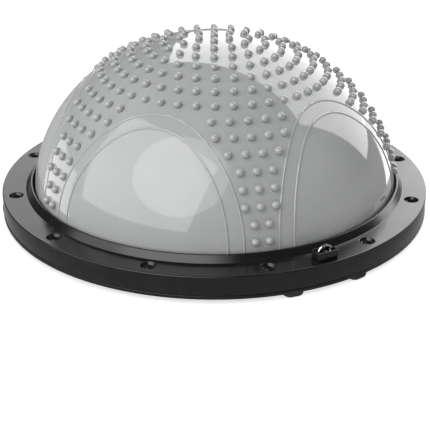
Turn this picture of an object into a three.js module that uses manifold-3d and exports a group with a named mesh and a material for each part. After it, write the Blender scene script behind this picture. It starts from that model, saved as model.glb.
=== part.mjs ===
// Balance dome trainer: an inflated PVC half ball clamped between a round base plate and a
// clamp ring, with two D-rings for resistance cords. Millimetres, +Z up. The origin is on the
// floor, under the middle of the dome. Azimuth 0 is at -Y and grows towards +X.

import * as THREE from 'three';
import { mergeVertices } from 'three/addons/utils/BufferGeometryUtils.js';
import Module from 'manifold-3d';

const wasm = await Module();
wasm.setup();

// Whole object
const rimHeight = 30; // underside of the base plate to the flat top of the clamp ring
const footHeight = 6; // rubber foot below the base plate
const restGap = 0.3; // between pieces that rest on each other
const turnedSegments = 60; // facets round the large turned pieces
const smallSegments = 8; // facets round screws, holes and pegs
const bossSegments = 16; // facets round bosses, recesses and the valve

// Inflated dome
const domeRadius = 247; // at its widest section
const domeRise = 213.3; // widest section to the pole
const domeSink = 13.7; // widest section below the flat top of the clamp ring
const domeRows = 12; // facets from the widest section to the pole, outside
const domeInnerRows = 8;
const bladderWall = 2.2;
const flangeWidth = 15; // clamped flange, outwards from the dome's wall
const flangeThickness = 3;

// Base plate
const plateEdge = 4.5; // thickness of the flat land round the outside
const plateLip = 0.5; // how far the plate stands out past the clamp ring
const plateSkin = 4; // thickness of the raised middle
const seatRaise = 3.7; // raised middle above the land
const seatMargin = 3; // raised middle past the bladder's flange
const ribThickness = 2.4;
const ribLift = 0.4; // rib edges above the land's underside
const ribCount = 12;
const middleRibRadius = 150;
const hubRibRadius = 32;

// Clamp ring
const ringWall = 3.5;
const ringEdgeRound = 1.2; // chamfer on the outer top edge
const collarHeight = 8.5; // above the flat top
const collarGap = 1.8; // round the dome at its widest section
const collarWall = 2.7; // at its top
const collarFlare = 6.5; // how far the collar's outside widens downwards
const collarEdge = 1; // chamfer at its top
const skirtWall = 4.2; // inner skirt that presses the flange

// Rim screws
const screwCount = 12;
const bossToFlange = 4; // from the bladder's flange to the plate's bosses
const rimMargin = 18; // from the screw circle to the outside of the ring's wall
const firstScrewAzimuth = 15;
const screwHeadRadius = 5.5;
const screwHeadHeight = 3.2;
const screwHeadEdge = 1.6; // height of the head's straight side
const screwHeadCrown = 1.4; // how much narrower the head's top is
const screwShankRadius = 2.2;
const threadClearance = 0.25;
const holeClearance = 0.7;
const recessMargin = 1.7; // recess floor past the screw head
const recessFlare = 2.3; // how far the recess widens upwards
const recessDepth = 4;
const ringBossWall = 1.5; // round the top of the recess
const ringBossFloor = 4; // material under the recess
const plateBossRadius = 6;
const threadEngagement = 13.5; // screw length inside the plate's boss
const bossHoleSpare = 2; // hole deeper than the screw

// Ring brackets
const bracketWidth = 28; // along the rim
const bracketDepth = 15; // across the rim
const bracketHeight = 11;
const bracketWall = 1.5;
const collarClearance = 9.5; // bracket to the foot of the collar
const barHeight = 5.5; // D-ring's bar above the clamp ring
const lugWidth = 5;
const lugCover = 1.7; // material round the bar's hole
const barClearance = 0.3;
const bracketBossRadius = 2.6;
const bracketBossSpacing = 18; // between the two bracket screws
const bracketScrewRadius = 1.4;
const bracketScrewHeadRadius = 3;
const bracketScrewHeadHeight = 2;
const bracketScrewCover = 0.6; // boss material over the screw's hole
const bracketHoleSpare = 0.6; // hole deeper than the screw

// D-rings
const wireRadius = 1.7;
const ringInnerWidth = 14.4;
const ringReach = 10.7; // bar centre to the middle of the bow's wire
const barOverhang = 1; // bar's end past the middle of the leg

// Rubber feet
const footAzimuths = [-9.3, 9.3, 110.7, 129.3, 230.7, 249.3];
const footWidth = 26; // along the rim
const footLength = 28; // across the rim, up to the plate's edge
const footCorner = 7;
const footChamfer = 2;
const footLipThickness = 1.5;
const footLipHeight = 4; // up the plate's edge
const pegRadius = 3.7;
const pegClearance = 0.3;
const pegInset = 14; // peg in from the plate's edge

// Valve
const neckRadius = 9; // valve neck through the bladder's floor and the plate
const neckClearance = 0.5;
const valveFlangeRadius = 20;
const valveFlangeThickness = 2;
const boreRadius = 4.6;
const plugClearance = 0.3;
const plugSleeve = 21; // thick part next to the head
const plugStep = 1;
const plugNeckRadius = 3.5;
const plugTopRadius = 2.2;
const plugLength = 64;
const plugHeadRadius = 8;
const plugHeadHeight = 2.4;
const plugHeadChamfer = 0.6;

const overcut = 1; // how far a cut or a buried end runs past the face that it meets

// Heights and radii that follow
const plateBottom = footHeight;
const landTop = plateBottom + plateEdge;
const seatTop = landTop + seatRaise;
const seatUnderside = seatTop - plateSkin;
const ribBottom = plateBottom + ribLift;
const ringBottom = landTop + restGap;
const flatTop = plateBottom + rimHeight;
const flatUnderside = flatTop - ringWall;
const collarTop = flatTop + collarHeight;
const domeCentre = flatTop - domeSink;
const flangeBottom = seatTop + restGap;
const flangeTop = flangeBottom + flangeThickness;
const skirtBottom = flangeTop + restGap;
const recessFloor = flatTop - recessDepth;
const ringBossBottom = recessFloor - ringBossFloor;
const plateBossTop = ringBossBottom - restGap;
const screwHeadBottom = recessFloor + restGap;
const recessFloorRadius = screwHeadRadius + recessMargin;
const recessTopRadius = recessFloorRadius + recessFlare;
const ringBossRadius = recessTopRadius + ringBossWall;
const flangeRadius = domeRadius + flangeWidth;
const screwCircle = flangeRadius + bossToFlange + plateBossRadius;
const rimRadius = screwCircle + rimMargin;
const plateRadius = rimRadius + plateLip;
const seatRadius = flangeRadius + seatMargin;
const landInner = flangeRadius;
const collarInner = domeRadius + collarGap;
const collarOuterTop = collarInner + collarWall;
const collarFoot = collarOuterTop + collarFlare;
const skirtOuter = collarInner + skirtWall;
const pegCircle = plateRadius - pegInset;
const barCircle = collarFoot + collarClearance + bracketDepth / 2;
const barLevel = flatTop + barHeight;
const bracketBossTop = barLevel - wireRadius - barClearance;

const radians = THREE.MathUtils.degToRad;

// A closed three.js geometry as a solid that can be cut and joined
function toSolid(geometry) {
  const bare = geometry.clone();
  bare.deleteAttribute('normal');
  bare.deleteAttribute('uv');
  const merged = mergeVertices(bare, 1e-4);
  const position = merged.attributes.position;
  const corners = [];
  let volume = 0;
  for (let i = 0; i < merged.index.count; i += 3) {
    const [a, b, c] = [0, 1, 2].map((k) => merged.index.getX(i + k));
    if (a === b || b === c || a === c) continue;
    const [p, q, r] = [a, b, c].map((k) => new THREE.Vector3().fromBufferAttribute(position, k));
    volume += p.dot(q.cross(r));
    corners.push(a, b, c);
  }
  const triVerts = Uint32Array.from(volume < 0 ? corners.reverse() : corners);
  const vertProperties = Float32Array.from(position.array);
  return new wasm.Manifold(new wasm.Mesh({ numProp: 3, vertProperties, triVerts }));
}

function toGeometry(solid) {
  const mesh = solid.getMesh();
  const geometry = new THREE.BufferGeometry();
  geometry.setAttribute('position', new THREE.BufferAttribute(mesh.vertProperties, 3));
  geometry.setIndex(new THREE.BufferAttribute(mesh.triVerts, 1));
  geometry.computeVertexNormals();
  return geometry;
}

// A turned solid about Z from [radius, height] points, which start and end on the axis or close up
function turned(points, segments = turnedSegments) {
  const profile = points.map(([radius, height]) => new THREE.Vector2(radius, height));
  if (points[0][0] > 0) profile.push(profile[0].clone());
  return toSolid(new THREE.LatheGeometry(profile, segments).rotateX(Math.PI / 2));
}

function disc(radius, low, high, segments = smallSegments) {
  return turned([[0, low], [radius, low], [radius, high], [0, high]], segments);
}

function block(width, depth, height, x, y, low) {
  const box = new THREE.BoxGeometry(width, depth, height);
  return toSolid(box.translate(x, y, low + height / 2));
}

function moved(solid, x, y, z = 0) {
  return solid.translate([x, y, z]);
}

// The solid, placed at azimuth 0, copied round the axis
function around(solid, azimuths) {
  return azimuths.map((azimuth) => solid.rotate([0, 0, azimuth]));
}

function joined(first, others) {
  return others.reduce((sum, other) => sum.add(other), first);
}

function cutBy(first, others) {
  return others.reduce((rest, other) => rest.subtract(other), first);
}

function evenly(count, first = 0) {
  return Array.from({ length: count }, (_, k) => first + (360 / count) * k);
}

// A rounded rectangle in the XY plane, centred
function roundedOutline(width, depth, corner) {
  const [x, y] = [width / 2, depth / 2];
  const outline = new THREE.Shape();
  outline.moveTo(-x + corner, -y);
  outline.lineTo(x - corner, -y);
  outline.absarc(x - corner, -y + corner, corner, -Math.PI / 2, 0);
  outline.lineTo(x, y - corner);
  outline.absarc(x - corner, y - corner, corner, 0, Math.PI / 2);
  outline.lineTo(-x + corner, y);
  outline.absarc(-x + corner, y - corner, corner, Math.PI / 2, Math.PI);
  outline.lineTo(-x, -y + corner);
  outline.absarc(-x + corner, -y + corner, corner, Math.PI, Math.PI * 1.5);
  return outline;
}

const plastics = {
  base: new THREE.MeshStandardMaterial({ color: 0x1c1c1e, roughness: 0.45, metalness: 0 }),
  pvc: new THREE.MeshStandardMaterial({ color: 0x8f9194, roughness: 0.15, metalness: 0 }),
  rubber: new THREE.MeshStandardMaterial({ color: 0x151516, roughness: 0.85, metalness: 0 }),
  white: new THREE.MeshStandardMaterial({ color: 0xf2f2ee, roughness: 0.4, metalness: 0 }),
};
const metals = {
  chrome: new THREE.MeshStandardMaterial({ color: 0xd9dadc, roughness: 0.08, metalness: 1 }),
  blackSteel: new THREE.MeshStandardMaterial({ color: 0x222326, roughness: 0.4, metalness: 0.8 }),
  zinc: new THREE.MeshStandardMaterial({ color: 0xb4b6b8, roughness: 0.35, metalness: 1 }),
};

function piece(name, geometry, material) {
  const mesh = new THREE.Mesh(geometry, material);
  mesh.name = name;
  return mesh;
}

function numbered(stem, index) {
  return `${stem}_${String(index + 1).padStart(2, '0')}`;
}

const screwAzimuths = evenly(screwCount, firstScrewAzimuth);

function basePlate() {
  const chamfer = 1;
  const neckHole = neckRadius + neckClearance;
  let plate = turned([
    [neckHole, seatUnderside],
    [hubRibRadius, seatUnderside],
    [hubRibRadius, ribBottom],
    [hubRibRadius + ribThickness, ribBottom],
    [hubRibRadius + ribThickness, seatUnderside],
    [middleRibRadius, seatUnderside],
    [middleRibRadius, ribBottom],
    [middleRibRadius + ribThickness, ribBottom],
    [middleRibRadius + ribThickness, seatUnderside],
    [landInner, seatUnderside],
    [landInner, plateBottom],
    [plateRadius - chamfer, plateBottom],
    [plateRadius, plateBottom + chamfer],
    [plateRadius, landTop],
    [seatRadius, landTop],
    [seatRadius, seatTop],
    [neckHole, seatTop],
  ]);
  const ribStart = hubRibRadius + ribThickness / 2;
  const ribLength = landInner + overcut - ribStart;
  const ribHeight = seatUnderside + overcut - ribBottom;
  const rib = block(ribThickness, ribLength, ribHeight, 0, -ribStart - ribLength / 2, ribBottom);
  plate = joined(plate, around(rib, evenly(ribCount)));
  const boss = disc(plateBossRadius, landTop - overcut, plateBossTop);
  plate = joined(plate, around(moved(boss, 0, -screwCircle), screwAzimuths));
  const holeRadius = screwShankRadius + threadClearance;
  const holeBottom = plateBossTop - threadEngagement - bossHoleSpare;
  const hole = disc(holeRadius, holeBottom, plateBossTop + overcut);
  plate = cutBy(plate, around(moved(hole, 0, -screwCircle), screwAzimuths));
  const pegHole = disc(pegRadius + pegClearance, plateBottom - overcut, landTop + overcut);
  return cutBy(plate, around(moved(pegHole, 0, -pegCircle), footAzimuths));
}

function clampRing() {
  let ring = turned([
    [collarInner, skirtBottom],
    [skirtOuter, skirtBottom],
    [skirtOuter, flatUnderside],
    [rimRadius - ringWall, flatUnderside],
    [rimRadius - ringWall, ringBottom],
    [rimRadius, ringBottom],
    [rimRadius, flatTop - ringEdgeRound],
    [rimRadius - ringEdgeRound, flatTop],
    [collarFoot, flatTop],
    [collarOuterTop, collarTop - collarEdge],
    [collarOuterTop - collarEdge, collarTop],
    [collarInner, collarTop],
  ]);
  const boss = disc(ringBossRadius, ringBossBottom, flatUnderside + overcut, bossSegments);
  ring = joined(ring, around(moved(boss, 0, -screwCircle), screwAzimuths));
  const slope = recessFlare / recessDepth;
  const recess = turned([
    [0, recessFloor],
    [recessFloorRadius, recessFloor],
    [recessTopRadius + slope * overcut, flatTop + overcut],
    [0, flatTop + overcut],
  ], bossSegments);
  ring = cutBy(ring, around(moved(recess, 0, -screwCircle), screwAzimuths));
  const hole = disc(screwShankRadius + holeClearance, ringBossBottom - overcut, recessFloor + overcut);
  ring = cutBy(ring, around(moved(hole, 0, -screwCircle), screwAzimuths));
  const smallRadius = bracketScrewRadius + threadClearance;
  const smallHole = disc(smallRadius, flatUnderside - overcut, flatTop + overcut);
  const pair = bracketScrewSpots().map((x) => moved(smallHole, x, -barCircle));
  return cutBy(ring, pair.flatMap((cut) => around(cut, [0, 180])));
}

function bladder() {
  // Quarter ellipse to the pole, from its widest section or from height low where that is higher
  const dome = (radius, rise, rows, low) => {
    const start = Math.asin(Math.max(0, (low - domeCentre) / rise));
    const angles = Array.from({ length: rows }, (_, k) => start + (Math.PI / 2 - start) * (k / rows));
    const sides = angles.map((t) => [radius * Math.cos(t), domeCentre + rise * Math.sin(t)]);
    return [...sides, [0, domeCentre + rise]];
  };
  const floorTop = flangeBottom + bladderWall;
  const outside = turned([
    [0, flangeBottom],
    [flangeRadius, flangeBottom],
    [flangeRadius, flangeTop],
    [domeRadius, flangeTop],
    ...dome(domeRadius, domeRise, domeRows, flangeTop),
  ]);
  const inside = turned([
    [0, floorTop],
    [domeRadius - bladderWall, floorTop],
    ...dome(domeRadius - bladderWall, domeRise - bladderWall, domeInnerRows, floorTop),
  ]);
  const holeRadius = neckRadius + neckClearance;
  const valveHole = disc(holeRadius, flangeBottom - overcut, floorTop + overcut, bossSegments);
  return outside.subtract(inside).subtract(valveHole);
}

// Moulded neck: its flange lies on the bladder's floor inside, its neck goes down through the plate
function valveSeat() {
  const flangeLow = flangeBottom + bladderWall + restGap;
  return turned([
    [boreRadius, seatUnderside],
    [neckRadius, seatUnderside],
    [neckRadius, flangeLow],
    [valveFlangeRadius, flangeLow],
    [valveFlangeRadius, flangeLow + valveFlangeThickness],
    [boreRadius, flangeLow + valveFlangeThickness],
  ], bossSegments);
}

function valvePlug() {
  const headTop = seatUnderside - restGap;
  const shoulderRadius = boreRadius - plugClearance;
  return turned([
    [0, headTop - plugHeadHeight],
    [plugHeadRadius - plugHeadChamfer, headTop - plugHeadHeight],
    [plugHeadRadius, headTop - plugHeadHeight + plugHeadChamfer],
    [plugHeadRadius, headTop],
    [shoulderRadius, headTop],
    [shoulderRadius, headTop + plugSleeve],
    [plugNeckRadius, headTop + plugSleeve + plugStep],
    [plugTopRadius, headTop + plugLength - plugTopRadius / 2],
    [plugTopRadius / 2, headTop + plugLength],
    [0, headTop + plugLength],
  ], bossSegments);
}

// Turned about its own axis, with the underside of its head at height 0
function rimScrew() {
  const tip = plateBossTop - threadEngagement - screwHeadBottom;
  return turned([
    [0, tip],
    [screwShankRadius, tip + screwShankRadius],
    [screwShankRadius, 0],
    [screwHeadRadius, 0],
    [screwHeadRadius, screwHeadEdge],
    [screwHeadRadius - screwHeadCrown, screwHeadHeight],
    [0, screwHeadHeight],
  ], bossSegments);
}

function bracketScrewSpots() {
  return [-bracketBossSpacing / 2, bracketBossSpacing / 2];
}

// Open box on the clamp ring's flat top, with a lug in the middle that holds the D-ring's bar
function ringBracket() {
  const low = flatTop + restGap;
  const high = flatTop + bracketHeight;
  const floorTop = low + bracketWall;
  const outside = block(bracketWidth, bracketDepth, high - low, 0, -barCircle, low);
  const roomWidth = bracketWidth - 2 * bracketWall;
  const roomDepth = bracketDepth - 2 * bracketWall;
  const room = block(roomWidth, roomDepth, high - floorTop + overcut, 0, -barCircle, floorTop);
  let box = outside.subtract(room);
  const lugRadius = wireRadius + barClearance + lugCover;
  const lugHead = disc(lugRadius, -lugWidth / 2, lugWidth / 2).rotate([0, 90, 0]);
  const footBottom = floorTop - bracketWall / 3; // lug and bosses are rooted in the floor
  const lugFoot = block(lugWidth, lugRadius * 2, barLevel - footBottom, 0, 0, footBottom);
  box = joined(box, [moved(lugHead, 0, -barCircle, barLevel), moved(lugFoot, 0, -barCircle)]);
  const boss = disc(bracketBossRadius, footBottom, bracketBossTop);
  box = joined(box, bracketScrewSpots().map((x) => moved(boss, x, -barCircle)));
  const barHole = disc(wireRadius + barClearance, -lugWidth, lugWidth);
  box = box.subtract(moved(barHole.rotate([0, 90, 0]), 0, -barCircle, barLevel));
  const holeTop = bracketBossTop - bracketScrewCover;
  const screwHole = disc(bracketScrewRadius + threadClearance, low - overcut, holeTop);
  return cutBy(box, bracketScrewSpots().map((x) => moved(screwHole, x, -barCircle)));
}

// The bar lies along X through the origin, and the bow stands up along Z
function dRing() {
  const legX = ringInnerWidth / 2 + wireRadius;
  const bowCentre = ringReach - legX;
  const route = [new THREE.Vector3(-legX, 0, 0), new THREE.Vector3(-legX, 0, bowCentre / 2)];
  const bowSteps = 10;
  for (let k = 0; k <= bowSteps; k += 1) {
    const angle = Math.PI * (1 - k / bowSteps);
    const [x, z] = [legX * Math.cos(angle), bowCentre + legX * Math.sin(angle)];
    route.push(new THREE.Vector3(x, 0, z));
  }
  route.push(new THREE.Vector3(legX, 0, bowCentre / 2), new THREE.Vector3(legX, 0, 0));
  const section = new THREE.Shape();
  section.absarc(0, 0, wireRadius, 0, Math.PI * 2);
  const extrudePath = new THREE.CatmullRomCurve3(route);
  const bow = new THREE.ExtrudeGeometry(section, { steps: 18, curveSegments: 4, extrudePath });
  const barEnd = legX + barOverhang;
  const bar = disc(wireRadius, -barEnd, barEnd).rotate([0, 90, 0]);
  return toSolid(bow).add(bar);
}

// Turned about its own axis, head down, with the upper face of its head at height 0
function bracketScrew() {
  const tip = bracketBossTop - bracketScrewCover - bracketHoleSpare - (flatUnderside - restGap);
  return turned([
    [0, -bracketScrewHeadHeight],
    [bracketScrewHeadRadius, -bracketScrewHeadHeight],
    [bracketScrewHeadRadius, 0],
    [bracketScrewRadius, 0],
    [bracketScrewRadius, tip],
    [0, tip],
  ], smallSegments);
}

// At azimuth 0: a pad under the plate's edge, a lip up its side and a peg through it
function foot() {
  const lipFace = plateRadius + restGap + footLipThickness;
  const back = plateRadius - footLength;
  const depth = lipFace - back;
  const middle = -(lipFace + back) / 2;
  const padTop = plateBottom - restGap;
  const narrower = 2 * footChamfer;
  const corner = footCorner - footChamfer;
  const outline = roundedOutline(footWidth - narrower, depth - narrower, corner);
  const bevel = {
    depth: padTop + plateEdge,
    bevelThickness: footChamfer,
    bevelSize: footChamfer,
    bevelSegments: 1,
    curveSegments: 3,
  };
  const pad = toSolid(new THREE.ExtrudeGeometry(outline, bevel).translate(0, middle, footChamfer));
  const high = padTop + plateEdge + footChamfer + overcut;
  const plateSpace = turned([
    [back - depth, padTop],
    [plateRadius + restGap, padTop],
    [plateRadius + restGap, high],
    [back - depth, high],
  ], turnedSegments * 4);
  const lipTop = plateBottom + footLipHeight;
  const aboveLip = block(footWidth * 2, depth * 2, high, 0, middle, lipTop);
  const peg = disc(pegRadius, padTop - overcut, landTop);
  return cutBy(pad, [plateSpace, aboveLip]).add(moved(peg, 0, -pegCircle));
}

const trainer = new THREE.Group();
trainer.add(piece('base_plate', toGeometry(basePlate()), plastics.base));
trainer.add(piece('clamp_ring', toGeometry(clampRing()), plastics.base));
trainer.add(piece('dome_bladder', toGeometry(bladder()), plastics.pvc));
trainer.add(piece('valve_seat', toGeometry(valveSeat()), plastics.pvc));
trainer.add(piece('valve_plug', toGeometry(valvePlug()), plastics.white));

const rimScrewGeometry = toGeometry(rimScrew());
screwAzimuths.forEach((azimuth, index) => {
  const screw = piece(numbered('rim_screw', index), rimScrewGeometry, metals.blackSteel);
  const angle = radians(azimuth);
  screw.position.set(screwCircle * Math.sin(angle), -screwCircle * Math.cos(angle), screwHeadBottom);
  screw.rotation.z = angle;
  trainer.add(screw);
});

const footGeometry = toGeometry(foot());
footAzimuths.forEach((azimuth, index) => {
  const pad = piece(numbered('rubber_foot', index), footGeometry, plastics.rubber);
  pad.rotation.z = radians(azimuth);
  trainer.add(pad);
});

const bracketGeometry = toGeometry(ringBracket());
const dRingGeometry = toGeometry(dRing());
const bracketScrewGeometry = toGeometry(bracketScrew());
[['front', 0], ['rear', 180]].forEach(([side, azimuth]) => {
  const station = new THREE.Group();
  station.rotation.z = radians(azimuth);
  station.add(piece(`ring_bracket_${side}`, bracketGeometry, plastics.base));
  const dRingMesh = piece(`d_ring_${side}`, dRingGeometry, metals.chrome);
  dRingMesh.position.set(0, -barCircle, barLevel);
  station.add(dRingMesh);
  bracketScrewSpots().forEach((x, index) => {
    const screw = piece(numbered(`bracket_screw_${side}`, index), bracketScrewGeometry, metals.zinc);
    screw.position.set(x, -barCircle, flatUnderside - restGap);
    station.add(screw);
  });
  trainer.add(station);
});

export default trainer;
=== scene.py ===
import math

import bmesh
import bpy
from mathutils import Matrix, Vector


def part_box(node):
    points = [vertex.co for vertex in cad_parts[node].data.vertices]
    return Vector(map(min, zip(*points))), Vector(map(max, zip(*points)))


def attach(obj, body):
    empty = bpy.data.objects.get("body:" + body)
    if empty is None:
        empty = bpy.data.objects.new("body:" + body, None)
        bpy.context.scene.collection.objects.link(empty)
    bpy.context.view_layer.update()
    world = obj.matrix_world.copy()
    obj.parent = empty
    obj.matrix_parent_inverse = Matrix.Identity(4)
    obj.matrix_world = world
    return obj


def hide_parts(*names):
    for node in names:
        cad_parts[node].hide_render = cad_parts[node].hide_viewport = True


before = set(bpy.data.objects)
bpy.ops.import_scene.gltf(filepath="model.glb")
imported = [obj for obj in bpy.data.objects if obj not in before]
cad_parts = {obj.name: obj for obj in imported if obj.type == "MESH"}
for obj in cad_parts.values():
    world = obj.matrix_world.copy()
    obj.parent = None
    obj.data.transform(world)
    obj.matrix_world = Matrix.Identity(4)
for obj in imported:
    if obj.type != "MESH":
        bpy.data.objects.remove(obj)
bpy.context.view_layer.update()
scene = bpy.context.scene
mm = 0.001

# Azimuths are in degrees: 0 is at -Y, where the front D-ring stands, and they grow towards +X.

camera = {
    "azimuth": -28.5,
    "distance": 1.3835,  # level distance from the dome's axis, in metres
    "sideways": 0.001,
    "height": 0.6384,
    "tilt": 64.43,  # from looking straight down
    "lens": 90.85,
    "sensor": 36.0,
    "nearest": 0.05,
    "farthest": 100.0,
}

studio = {
    "floorSize": 60.0,  # metres
    "floorColour": "#f7f7f6",
    "floorRoughness": 0.9,
    "floorSpecular": 0.1,
    "floorGlow": 0.65,  # keeps the floor white close to the object
    "backdrop": 1.1,
    "fill": 0.77,  # white light from all round, which the matt shading sees
    "mirroredRoom": 0.1,  # what glossy surfaces mirror between the soft boxes
    "mirroredFloor": 0.42,
    "horizon": (-0.05, 0.1),  # rise of a ray where the floor's tone ends and the room's begins
    "sunAzimuth": -88.0,
    "sunElevation": 42.0,
    "sunAngle": 55.0,
    "sunStrength": 3.1,
}

# The soft boxes face a point on the dome's axis: place in degrees, distance and size in metres.
# They show only as reflections, some of them only in the dome or only in the black parts.
softBoxes = [
    {"name": "keyPanel", "azimuth": -79.6, "elevation": 26.3, "distance": 2.03,
     "across": (-1.42, 1.59), "up": (-0.84, 1.53), "glow": 2.3},
    {"name": "keyDisc", "azimuth": -54.0, "elevation": 40.0, "distance": 2.4,
     "across": (-1.22, 1.22), "up": (-1.22, 1.22), "glow": 1.8, "round": True},
    {"name": "backPanel", "azimuth": 117.2, "elevation": 30.3, "distance": 2.03, "only": "dome",
     "across": (-1.41, 1.68), "up": (-0.83, 1.21), "glow": 3.6},
    {"name": "rightGlow", "azimuth": 117.2, "elevation": 30.3, "distance": 2.03, "only": "black",
     "across": (-1.41, 0.62), "up": (-0.83, 1.21), "glow": 3.7},
    {"name": "backStrip", "azimuth": 128.0, "elevation": -12.0, "distance": 2.2, "only": "dome",
     "across": (-1.02, 0.9), "up": (-0.6, 0.85), "glow": 3.0},
    {"name": "sidePanel", "azimuth": -139.0, "elevation": -10.0, "distance": 2.2, "only": "dome",
     "across": (-0.58, 0.66), "up": (-0.88, 0.88), "glow": 2.1},
    {"name": "leftGlow", "azimuth": 169.5, "elevation": 26.0, "distance": 2.4, "only": "black",
     "across": (-0.46, 0.42), "up": (-0.6, 0.6), "glow": 1.8},
]

# Objects that a light with "only" reaches; install() fills them.
litGroups = {name: bpy.data.collections.new(name) for name in ("dome", "black", "object")}


def direction(azimuth, elevation=0.0):
    a, e = math.radians(azimuth), math.radians(elevation)
    return Vector((math.cos(e) * math.sin(a), -math.cos(e) * math.cos(a), math.sin(e)))


def makeCamera():
    data = bpy.data.cameras.new("frontCamera")
    data.lens, data.sensor_width = camera["lens"], camera["sensor"]
    data.clip_start, data.clip_end = camera["nearest"], camera["farthest"]
    obj = bpy.data.objects.new("frontCamera", data)
    across = direction(camera["azimuth"] + 90)
    place = direction(camera["azimuth"]) * camera["distance"] + across * camera["sideways"]
    obj.location = (place.x, place.y, camera["height"])
    obj.rotation_euler = (math.radians(camera["tilt"]), 0, math.radians(camera["azimuth"]))
    scene.collection.objects.link(obj)
    scene.camera = obj


def linear(code):
    # An sRGB hex colour as linear RGBA
    parts = [int(code[k:k + 2], 16) / 255 for k in (1, 3, 5)]
    return [p / 12.92 if p <= 0.04045 else ((p + 0.055) / 1.055) ** 2.4 for p in parts] + [1.0]


def addNode(tree, kind, inputs=None, **settings):
    # Adds a node; an input's value may be a plain value or the socket that feeds it
    node = tree.nodes.new(kind)
    for name, value in settings.items():
        setattr(node, name, value)
    for socket, value in (inputs or {}).items():
        if isinstance(value, bpy.types.NodeSocket):
            tree.links.new(value, node.inputs[socket])
        else:
            node.inputs[socket].default_value = value
    return node


def makeSoftBox(box):
    data = bpy.data.lights.new(box["name"], "AREA")
    width = box["across"][1] - box["across"][0]
    height = box["up"][1] - box["up"][0]
    data.shape = "ELLIPSE" if box.get("round") else "RECTANGLE"
    data.size, data.size_y = width, height
    area = width * height * (math.pi / 4 if box.get("round") else 1)
    data.energy = box["glow"] * math.pi * area
    obj = bpy.data.objects.new(box["name"], data)
    away = direction(box["azimuth"], box["elevation"])
    across = direction(box["azimuth"] + 90)
    up = away.cross(across)
    place = away * box["distance"] + across * sum(box["across"]) / 2 + up * sum(box["up"]) / 2
    obj.matrix_world = Matrix.Translation(place) @ Matrix((across, up, away)).transposed().to_4x4()
    obj.visible_diffuse = False  # the fill and the sun shape the matt shading
    obj.visible_camera = False
    if "only" in box:
        obj.light_linking.receiver_collection = litGroups[box["only"]]
    scene.collection.objects.link(obj)


def makeSun():
    data = bpy.data.lights.new("softSun", "SUN")
    data.angle, data.energy = math.radians(studio["sunAngle"]), studio["sunStrength"]
    obj = bpy.data.objects.new("softSun", data)
    tilt = math.radians(90 - studio["sunElevation"])
    obj.rotation_euler = (tilt, 0, math.radians(studio["sunAzimuth"]))
    obj.visible_glossy = False
    obj.light_linking.receiver_collection = litGroups["object"]
    scene.collection.objects.link(obj)


def makeStudio():
    world = bpy.data.worlds.new("studioRoom")
    scene.world = world
    world.use_nodes = True
    tree = world.node_tree
    tree.nodes.clear()
    rays = addNode(tree, "ShaderNodeLightPath")
    way = addNode(tree, "ShaderNodeTexCoord").outputs["Generated"]  # in a world, the ray's direction
    rise = addNode(tree, "ShaderNodeSeparateXYZ", {0: way}).outputs["Z"]
    floorEnd, roomStart = studio["horizon"]
    mirrored = addNode(tree, "ShaderNodeMapRange", {
        "Value": rise, "From Min": floorEnd, "From Max": roomStart,
        "To Min": studio["mirroredFloor"], "To Max": studio["mirroredRoom"]})
    inside = addNode(tree, "ShaderNodeMix", {"Factor": rays.outputs["Is Glossy Ray"],
                     "A": studio["fill"], "B": mirrored.outputs["Result"]})
    level = addNode(tree, "ShaderNodeMix", {"Factor": rays.outputs["Is Camera Ray"],
                    "A": inside.outputs[0], "B": studio["backdrop"]})
    glow = addNode(tree, "ShaderNodeBackground", {"Color": (1, 1, 1, 1), "Strength": level.outputs[0]})
    addNode(tree, "ShaderNodeOutputWorld", {"Surface": glow.outputs[0]})
    for box in softBoxes:
        makeSoftBox(box)
    makeSun()
    half = studio["floorSize"] / 2
    corners = [(-half, -half, 0), (half, -half, 0), (half, half, 0), (-half, half, 0)]
    mesh = bpy.data.meshes.new("studioFloor")
    mesh.from_pydata(corners, [], [(0, 1, 2, 3)])
    floor = bpy.data.objects.new("studioFloor", mesh)
    material = bpy.data.materials.new("paintedFloor")
    material.use_nodes = True
    shader = material.node_tree.nodes["Principled BSDF"]
    shader.inputs["Base Color"].default_value = linear(studio["floorColour"])
    shader.inputs["Roughness"].default_value = studio["floorRoughness"]
    shader.inputs["Specular IOR Level"].default_value = studio["floorSpecular"]
    shader.inputs["Emission Color"].default_value = (1, 1, 1, 1)
    shader.inputs["Emission Strength"].default_value = studio["floorGlow"]
    mesh.materials.append(material)
    floor.visible_glossy = False
    scene.collection.objects.link(floor)
    scene.view_settings.view_transform = "Standard"


makeCamera()
makeStudio()
print("camera and studio")


# Materials

def newMaterial(name):
    material = bpy.data.materials.new(name)
    material.use_nodes = True
    tree = material.node_tree
    return material, tree, tree.nodes["Principled BSDF"]


def perMm(size):
    # Noise scale whose features are about this many millimetres across
    return 1000 / size


def grain(tree, size, detail=3.0, roughness=0.5):
    place = addNode(tree, "ShaderNodeTexCoord")
    return addNode(tree, "ShaderNodeTexNoise", {"Vector": place.outputs["Object"], "Scale": perMm(size),
                   "Detail": detail, "Roughness": roughness}).outputs["Fac"]


def spread(tree, value, low, high, inLow=0.3, inHigh=0.7):
    # Stretches a noise value to a range of values
    return addNode(tree, "ShaderNodeMapRange", {"Value": value, "From Min": inLow, "From Max": inHigh,
                   "To Min": low, "To Max": high}).outputs["Result"]


def twoTone(tree, value, dark, light):
    return addNode(tree, "ShaderNodeMix", {"Factor": value, "A": linear(dark), "B": linear(light)},
                   data_type="RGBA").outputs["Result"]


def bumped(tree, height, depth):
    # Depth is in millimetres, from the lowest to the highest of the pattern
    return addNode(tree, "ShaderNodeBump", {"Height": height, "Strength": 1.0,
                   "Distance": depth * mm}).outputs["Normal"]


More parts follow.
